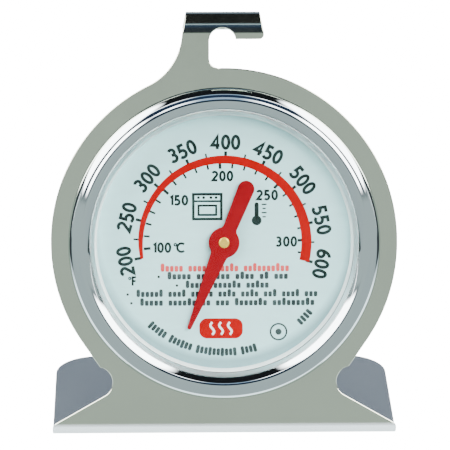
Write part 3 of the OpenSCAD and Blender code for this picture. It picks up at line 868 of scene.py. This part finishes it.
def make_small_print():
    printed("print_heading", word_line(-5.1, -12.3, 12.6, 1.25, (5, 11, 10), dot=False), rose_ink)
    grey = word_line(-6.65, -11.0, 12.4, 1.15, (5, 3, 3, 4, 2, 3))
    grey += word_line(-8.35, -7.5, 8.7, 1.15, (5, 6, 5))
    grey += word_line(-10.05, -17.0, 18.1, 1.15, (6, 4, 5, 4, 4, 3, 4, 3))
    grey += word_line(-11.75, -16.3, 17.5, 1.15, (5, 6, 2, 3, 7, 9))
    ring, angle = 21.3, 221.5
    for word in (5, 6, 10, 4):
        for k in range(word):
            grey.append(bar(*clock(ring, angle), 0.66, 1.4 if k % 3 else 1.7, angle + 180, ends=0.2))
            angle -= 2.15
        angle -= 2.0
    for k in range(4):
        angle = 136.5 - 2.3 * k
        grey.append(bar(*clock(ring, angle), 0.66, 1.5, angle + 180, ends=0.2))
    printed("print_lines", grey, grey_ink)


def make_symbols():
    """Plain pictures of an oven and a thermometer in place of the title."""
    oven = [band([(-5.9, 4.5), (-5.9, 9.3), (-0.5, 9.3), (-0.5, 4.5), (-5.9, 4.5)], 0.5)]
    oven += [band([(-5.9, 7.95), (-0.5, 7.95)], 0.38),
             band([(-4.9, 5.3), (-4.9, 7.1), (-1.5, 7.1), (-1.5, 5.3), (-4.9, 5.3)], 0.4)]
    oven += [bar(x, 8.65, 0.55, 0.55, ends=0.49) for x in (-4.9, -3.9, -2.5, -1.5)]
    bulb = [prism(circle(6.3, 4.2, 0.95, 28)), bar(6.3, 6.0, 0.8, 3.4, ends=0.49)]
    bulb += [bar(7.75, 4.9 + 0.8 * i, 1.0 if i % 2 else 0.7, 0.26) for i in range(4)]
    printed("print_symbols", oven + bulb, dark_ink)


def make_badge():
    """A plain red badge with three heat waves, and a ring with a dot beside it."""
    x0, y0, a, b = -0.6, -16.7, 4.2, 1.95
    outline = rounded([(-a, -b, 1.5), (a, -b, 1.5), (a, b, 1.5), (-a, b, 1.5)], 8)
    printed("badge_red", [prism([(x0 + x, y0 + y) for x, y in outline])], red_ink)
    waves = []
    for k in (-1, 0, 1):
        path = [(x0 + k * 1.7 + 0.35 * sin(t * 2 * pi), y0 - 1.2 + 2.4 * t) for t in np.linspace(0, 1, 17)]
        v, f = band(path, 0.42)
        waves.append(([(x, y, z + INK) for x, y, z in v], f))
    printed("badge_waves", waves, white_ink)
    x0, y0 = 10.5, -17.4
    printed("print_ring", [band(arc(x0, y0, 1.55, 0, 360, 40), 0.32), prism(circle(x0, y0, 0.6, 20))],
            grey_ink)


# ---- pointer ----

def pointer_outline():
    """The blade as it points straight up, with small fillets where it meets its middle."""
    root, end, tail_root, tail_end, f = 1.85, 0.4, 1.25, 1.6, 1.0
    tip_y = TIP_LEN - 0.3
    tail_c = tail_end - TAIL_LEN

    def join(p, q):
        """Fillet between the round middle and the line from p out to q, on the right."""
        d = (Vector(q) - Vector(p)).normalized()
        m = Vector((d.y, -d.x)) if d.y > 0 else Vector((-d.y, d.x))
        offset = m.dot(Vector(p))
        t = sqrt((HUB_R + f) ** 2 - (offset + f) ** 2)
        middle = m * (offset + f) + d * t
        on_line, on_hub = middle - m * f, middle * HUB_R / (HUB_R + f)
        a, b = on_line - middle, on_hub - middle
        return swept(middle, a, a.angle_signed(b), 8)

    tip = join((root, 0), (end, tip_y))
    tail = join((tail_root, 0), (tail_end, tail_c))
    a_tip = degrees(atan2(tip[-1][1], tip[-1][0]))
    a_tail = degrees(atan2(tail[-1][1], tail[-1][0]))
    side = arc(0, tail_c, tail_end, -90, 0, 12)[1:] + tail + arc(0, 0, HUB_R, a_tail, a_tip, 16)[1:-1]
    side += tip[::-1] + [(end, tip_y), (end * 0.8, tip_y + 0.2), (end / 2, TIP_LEN)]
    return side + [(-x, y) for x, y in reversed(side)] + [(0, -TAIL_LEN)]


def make_pointer():
    c, s = cos(radians(POINTER_REST)), sin(radians(POINTER_REST))
    turned_outline = [(x * c + y * s, -x * s + y * c) for x, y in pointer_outline()]
    hole = 0.8
    verts, faces, normals = sheet([turned_outline, circle(0, 0, hole, 24, True)], POINTER_T, 0.1)
    verts = [(x, y, z + POINTER_Z + POINTER_T) for x, y, z in verts]
    blade = make_piece("pointer_arm", verts, faces, red_paint, "pointer_red", "pointer", normals)
    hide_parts("pointer_blade")
    top = POINTER_Z + POINTER_T
    section = [(0, top + 0.27), (0.2, top + 0.275), (0.42, top + 0.32), (0.6, top + 0.35),
               (0.78, top + 0.33), (0.93, top + 0.25), (1.01, top + 0.13), (1.03, top), (hole, top),
               (hole, POINTER_Z), (1.1, POINTER_Z), (1.2, POINTER_Z - 0.1), (1.2, DIAL_Z - 0.5),
               (0.6, DIAL_Z - 0.5),
               (0.6, POINTER_Z - 0.1), (0, POINTER_Z - 0.1)]
    pin = turned("pointer_pin", section, hub_metal, "hub_brass", "pointer", 64)
    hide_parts("pointer_hub")


# ---- rivets, bush and the kept movement ----

def rivet_section():
    low, high = FLOOR_Z - CASE_T, FLOOR_Z + 0.6
    return [(0, low - 0.3), (0.6, low - 0.29), (1.0, low - 0.24), (1.28, low - 0.14), (1.4, low),
            (RIVET_HOLE, low), (RIVET_HOLE, high), (1.4, high), (1.35, high + 0.2), (1.0, high + 0.36),
            (0.5, high + 0.4), (0, high + 0.4)]


def make_rivets():
    rivet = lathe(rivet_section(), 40)
    pair = [moved(rivet, side * RIVET_U, 0) for side in (-1, 1)]
    obj = make_piece("bridge_rivet_pair", *joined(pair), rivet_metal, "rivet_steel")
    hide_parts("bridge_rivets")
    obj = make_piece("anchor_rivet_domed", *moved(rivet, 0, ANCHOR_V), rivet_metal, "rivet_steel")
    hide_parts("anchor_rivet")


def make_rear_bush():
    low = FLOOR_Z - CASE_T
    section = [(0, low - 0.2), (0.5, low - 0.18), (0.62, low - 0.05), (0.8, low - 0.05),
               (1.0, low - 0.32), (1.2, low - 0.4), (1.6, low - 0.4), (1.85, low - 0.3), (1.96, low - 0.16),
               (2.0, low - 0.1), (2.0, low), (BUSH_HOLE, low), (BUSH_HOLE, FLOOR_Z), (2.4, FLOOR_Z),
               (2.4, FLOOR_Z + 0.7), (2.3, FLOOR_Z + 0.8), (0.65, FLOOR_Z + 0.8), (0.65, low + 0.2),
               (0, low + 0.2)]
    obj = turned("rear_bush_turned", section, brass, "bush_brass", n=64)
    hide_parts("rear_bush")


KEPT = {
    "movement_bridge": dark_steel, "front_bush": brass, "coil_anchor": dark_steel,
    "bimetal_coil": strip_metal, "pointer_staff": shaft_steel, "coil_collet": brass,
    "collet_pin": dark_steel, "staff_clip": dark_steel, "thrust_washer": rivet_metal,
}


def finish_kept_nodes():
    for name, finish in KEPT.items():
        mesh = frame["nodes"][name].data
        mesh.materials.clear()
        mesh.materials.append(finish)


# ---- studio ----

def make_floor():
    """A pale floor that is bright to the camera and takes a soft contact shadow; to mirrored rays it glows
    with painted reflection tones, light near the object and dark further out.
    """
    mesh = bpy.data.meshes.new("floor")
    r = 3.0
    mesh.from_pydata([(-r, -r, 0), (r, -r, 0), (r, r, 0), (-r, r, 0)], [], [[0, 1, 2, 3]])
    obj = bpy.data.objects.new("floor", mesh)
    bpy.context.scene.collection.objects.link(obj)
    mat, shader = material("pale_floor")
    tree, link = mat.node_tree, mat.node_tree.links.new
    link(blend_colours(mat, noise(mat, 8, 2), (0.86, 0.86, 0.86), (0.9, 0.9, 0.9)),
         shader.inputs["Base Color"])
    shader.inputs["Roughness"].default_value = 0.8
    shader.inputs["Specular IOR Level"].default_value = 0.1
    path = add_node(tree, "ShaderNodeLightPath")
    link(spread(mat, path.outputs["Is Camera Ray"], 0.0, FLOOR_CAMERA, 0, 1),
         shader.inputs["Emission Strength"])
    shader.inputs["Emission Color"].default_value = (1, 1, 1, 1)
    x, y, _ = coordinates(tree)
    side = maths(tree, "ABSOLUTE", x)
    near = maths(tree, "MULTIPLY", spread(mat, y, 0, 1, *NEAR_Y), spread(mat, side, 1, 0, *NEAR_X))
    back = maths(tree, "MULTIPLY_ADD", side, 0.15, y)
    far = maths(tree, "MULTIPLY", spread(mat, back, 0, 1, *FAR_Y), spread(mat, side, 0, 1, *FAR_X))
    # painted reflection: mirrored rays see the floor glow, light near the object and dark further out
    mirrored = add_node(tree, "ShaderNodeEmission")
    link(mixed(tree, far, blend_colours(mat, near, FLOOR_GLOSS, FLOOR_NEAR, 0, 1), SIDE_BACK),
         mirrored.inputs["Color"])
    mix = add_node(tree, "ShaderNodeMixShader")
    link(path.outputs["Is Glossy Ray"], mix.inputs[0])
    link(shader.outputs[0], mix.inputs[1])
    link(mirrored.outputs[0], mix.inputs[2])
    link(mix.outputs[0], tree.nodes["Material Output"].inputs["Surface"])
    mat.cycles.emission_sampling = "NONE"
    mesh.materials.append(mat)


FRONT = (0.58, 0.69, 0.68)
FLOOR_GLOSS, FLOOR_NEAR, FLOOR_CAMERA = (0.56, 0.67, 0.67), (2.6, 3.0, 3.1), 15.0
WHITE_BOX, BACKDROP = 12.0, 17.0
# Where the floor's painted reflection tones fade, in metres
NEAR_Y, NEAR_X, FAR_Y, FAR_X = (-0.0235, -0.0215), (0.08, 0.25), (-0.02, 0.01), (0.09, 0.16)
SKY = [  # degrees over the top from the front, and the colour there
    (0, FRONT), (15, FRONT), (20, (0.025, 0.035, 0.05)), (42, (0.018, 0.03, 0.05)),
    (55, (0.03, 0.06, 0.13)), (62, (0.05, 0.09, 0.16)), (64.5, (0.8, 1.1, 1.4)), (66, (0.8, 1.1, 1.4)),
    (69, (0.05, 0.06, 0.07)), (76, (0.012, 0.014, 0.016)), (145, (0.012, 0.014, 0.016)),
    (152, (0.27, 0.35, 0.50)), (172, (0.33, 0.42, 0.58)), (180, (0.45, 0.5, 0.6)),
]
SIDE_BACK = (0.05, 0.06, 0.065)
AROUND, OVERHEAD = (2.6, 2.7, 2.75), (2.0, 2.05, 2.1)


def make_world():
    """Studio surround: white boxes on both sides, a dark top, a grey front."""
    world = bpy.data.worlds.new("studio")
    bpy.context.scene.world = world
    world.use_nodes = True
    tree = world.node_tree
    link = tree.links.new

    def step(value, low, high):
        """Fades in between two parts of the direction, or two half turns over the top."""
        node = add_node(tree, "ShaderNodeMapRange", interpolation_type="SMOOTHSTEP")
        node.inputs["From Min"].default_value, node.inputs["From Max"].default_value = low, high
        link(value, node.inputs["Value"])
        return node.outputs["Result"]

    x, y, z = coordinates(tree, "Generated")
    side = maths(tree, "ABSOLUTE", x)
    over = maths(tree, "DIVIDE", maths(tree, "ARCTAN2", z, maths(tree, "MULTIPLY", y, -1.0)), pi)
    ramp = add_node(tree, "ShaderNodeValToRGB")
    while len(ramp.color_ramp.elements) < len(SKY):
        ramp.color_ramp.elements.new(0.5)
    for element, (angle, colour) in zip(ramp.color_ramp.elements, SKY):
        element.position = angle / 180
        element.color = (*colour, 1)
    link(over, ramp.inputs["Fac"])
    # low down at the sides: the front's colour ahead, dark behind
    low = maths(tree, "MULTIPLY", step(side, 0.3, 0.5), maths(tree, "SUBTRACT", 1.0, step(z, 0.29, 0.37)))
    colour = mixed(tree, low, ramp.outputs["Color"], mixed(tree, step(y, -0.02, 0.1), FRONT, SIDE_BACK))
    # a narrow strip of light overhead, and a white box on each side
    end = maths(tree, "SUBTRACT", 1.0, step(over, 0.37, 0.385))
    lit = maths(tree, "MULTIPLY", step(over, 0.345, 0.355), end)
    colour = mixed(tree, maths(tree, "MULTIPLY", step(side, 0.1, 0.3), lit), colour, (WHITE_BOX / 2,) * 3)
    box = maths(tree, "MULTIPLY", step(z, 0.33, 0.41), step(y, -0.66, -0.56))
    colour = mixed(tree, maths(tree, "MULTIPLY", step(side, 0.38, 0.5), box), colour, (WHITE_BOX,) * 3)
    path = add_node(tree, "ShaderNodeLightPath").outputs
    colour = mixed(tree, path["Is Glossy Ray"], mixed(tree, step(z, -0.2, 1.0), AROUND, OVERHEAD), colour)
    colour = mixed(tree, path["Is Camera Ray"], colour, (BACKDROP,) * 3)
    link(colour, tree.nodes["Background"].inputs["Color"])


def add_lamp(name, place, size, power):
    """A soft lamp that lights the object but isn't mirrored in it."""
    light = bpy.data.lights.new(name, "AREA")
    light.shape, light.size, light.energy = "DISK", size, power
    obj = bpy.data.objects.new(name, light)
    bpy.context.scene.collection.objects.link(obj)
    obj.location = place
    obj.rotation_euler = (Vector((0, 0, 0.04)) - Vector(place)).to_track_quat("-Z", "Y").to_euler()
    obj.visible_glossy = False
    obj.visible_camera = False


def make_camera():
    azimuth, elevation, distance, roll = radians(-1.5), radians(21), 0.65, radians(0.3)
    camera = bpy.data.cameras.new("camera")
    camera.lens, camera.sensor_width = 270.0, 36.0
    camera.clip_start, camera.clip_end = 0.01, 20
    obj = bpy.data.objects.new("camera", camera)
    bpy.context.scene.collection.objects.link(obj)
    back = Vector((sin(azimuth) * cos(elevation), -cos(azimuth) * cos(elevation), sin(elevation)))
    target = PLATE @ Vector((0.14 * MM, 3.57 * MM, 0))
    turn = (-back).to_track_quat("-Z", "Y").to_matrix() @ Matrix.Rotation(roll, 3, "Z")
    obj.matrix_world = Matrix.Translation(target + back * distance) @ turn.to_4x4()
    bpy.context.scene.camera = obj


make_stand()
make_case()
make_bezel()
make_glass_stack()
make_dial()
make_scale()
make_numbers()
make_small_print()
make_symbols()
make_badge()
make_pointer()
make_rivets()
make_rear_bush()
finish_kept_nodes()
make_floor()
make_world()
add_lamp("key_lamp", (0.35, -0.95, 0.6), 0.6, 10)
make_camera()
